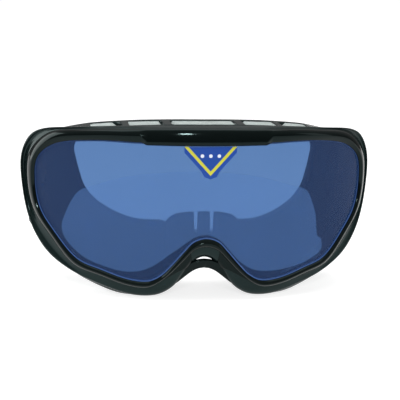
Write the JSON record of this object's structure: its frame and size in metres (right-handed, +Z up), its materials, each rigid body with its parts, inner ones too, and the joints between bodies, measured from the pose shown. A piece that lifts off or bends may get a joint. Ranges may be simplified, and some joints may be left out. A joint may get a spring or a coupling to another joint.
{
  "type": "fatigue simulation goggles",
  "caption": "Wraparound goggles with a blue lens, a view-dulling film, a vented frame, a face cushion and an elastic strap on swivelling clips.",
  "frame": {"origin": "middle of the bounding box, on the table that the goggles stand on", "axes": "+X to the right as seen from the front, +Y from the lens to the face, +Z up"},
  "size_m": [0.184, 0.1746, 0.0877],
  "materials": {
    "frame_black": "moulded gloss black",
    "rim_black": "polished black",
    "lens_blue": "clear blue tint",
    "seal_black": "matt",
    "film_haze": "translucent, finely ruled",
    "label_blue": "printed film",
    "nose_rubber": "soft matt",
    "foam_grey": "open-cell foam",
    "fleece_black": "brushed fleece",
    "vent_foam": "open-cell filter foam",
    "clip_black": "satin moulded",
    "stud_black": "satin",
    "strap_elastic": "ribbed elastic",
    "slider_black": "satin moulded"
  },
  "bodies": {
    "goggles": {"frame_body": "frame_black", "front_rim": "rim_black", "nose_bar": "rim_black", "outer_lens": "lens_blue", "lens_seal": "seal_black", "simulation_film": "film_haze", "lens_label": "label_blue", "nose_flap": "nose_rubber", "face_foam": "foam_grey", "face_fleece": "fleece_black", "vent_foam_center": "vent_foam", "vent_foam_left": "vent_foam", "vent_foam_right": "vent_foam", "lower_vent_foam_left": "vent_foam", "lower_vent_foam_right": "vent_foam", "clip_stud_left": "stud_black", "clip_stud_right": "stud_black", "stud_cap_left": "stud_black", "stud_cap_right": "stud_black"},
    "strap": {"clip_left": "clip_black", "clip_right": "clip_black", "strap_band": "strap_elastic"},
    "left_slider": {"slider_left": "slider_black"},
    "right_slider": {"slider_right": "slider_black"}
  },
  "joints": [
    {"name": "strap_swing", "type": "hinge", "parent": "goggles", "child": "strap", "pos_m": [0, -0.02525, 0.054], "axis": [1, 0, 0], "range_deg": [0, 60]},
    {"name": "left_slider_travel", "type": "slide", "parent": "strap", "child": "left_slider", "axis": [0, 0.9511, -0.309], "range_m": [-0.01, 0.01]},
    {"name": "right_slider_travel", "type": "slide", "parent": "strap", "child": "right_slider", "axis": [0, 0.9511, -0.309], "range_m": [-0.01, 0.01]}
  ]
}
